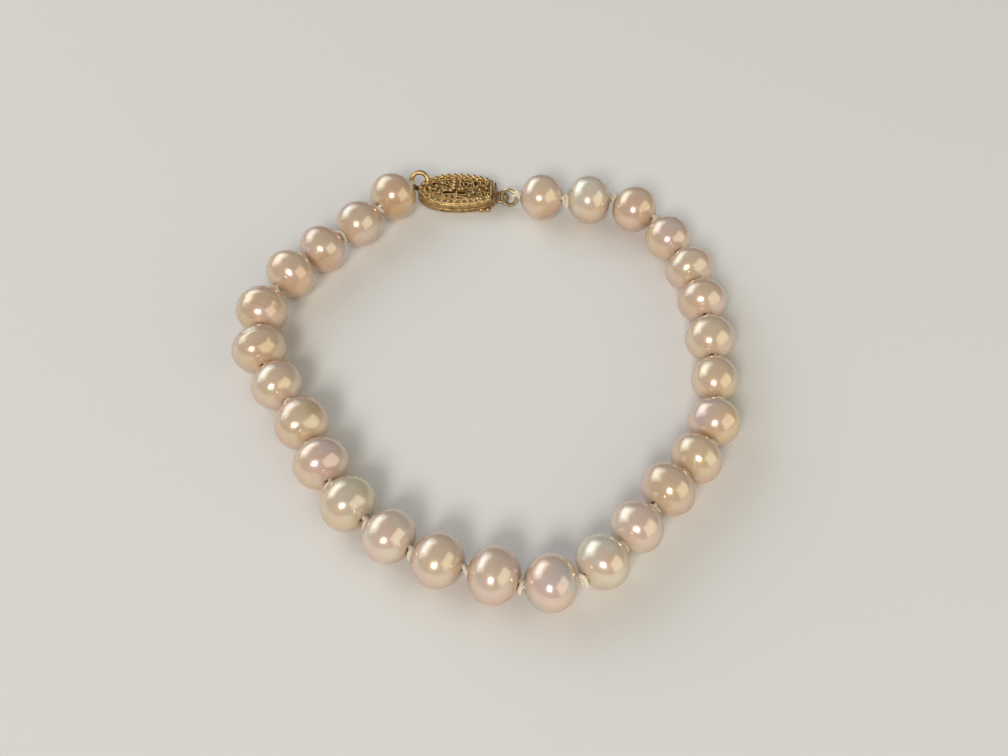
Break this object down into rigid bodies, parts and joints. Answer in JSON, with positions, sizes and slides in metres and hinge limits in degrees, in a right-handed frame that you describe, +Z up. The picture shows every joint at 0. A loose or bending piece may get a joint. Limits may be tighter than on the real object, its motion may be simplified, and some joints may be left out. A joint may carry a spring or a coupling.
{
  "type": "pearl bracelet",
  "caption": "Single-strand pearl bracelet on knotted silk, fastened by a gold filigree fishhook clasp and lying closed in a loose loop.",
  "frame": {"origin": "middle of the base of the bracelet's box, on the surface that the pearls lie on", "axes": "+Z up, out of the plane of the loop; +Y from the middle of the loop towards the clasp; +X from the clasp's box towards its hook"},
  "size_m": [0.064, 0.0708, 0.0068],
  "materials": {
    "nacre": "high lustre cream to peach nacre with pink and pale green overtones",
    "silk": "matt twisted cream silk",
    "old_gold": "worn yellow gold, darkened in the recesses",
    "pale_gold": "polished pale yellow gold wire"
  },
  "bodies": {
    "root": {"pearl_01": "nacre", "pearl_02": "nacre", "pearl_03": "nacre", "pearl_04": "nacre", "pearl_05": "nacre", "pearl_06": "nacre", "pearl_07": "nacre", "pearl_08": "nacre", "pearl_09": "nacre", "pearl_10": "nacre", "pearl_11": "nacre", "pearl_12": "nacre", "pearl_13": "nacre", "pearl_14": "nacre", "pearl_15": "nacre", "pearl_16": "nacre", "pearl_17": "nacre", "pearl_18": "nacre", "pearl_19": "nacre", "pearl_20": "nacre", "pearl_21": "nacre", "pearl_22": "nacre", "pearl_23": "nacre", "pearl_24": "nacre", "pearl_25": "nacre", "pearl_26": "nacre", "pearl_27": "nacre", "silk_thread": "silk", "clasp_box": "old_gold", "clasp_hook": "old_gold", "jump_ring": "pale_gold"}
  },
  "joints": []
}
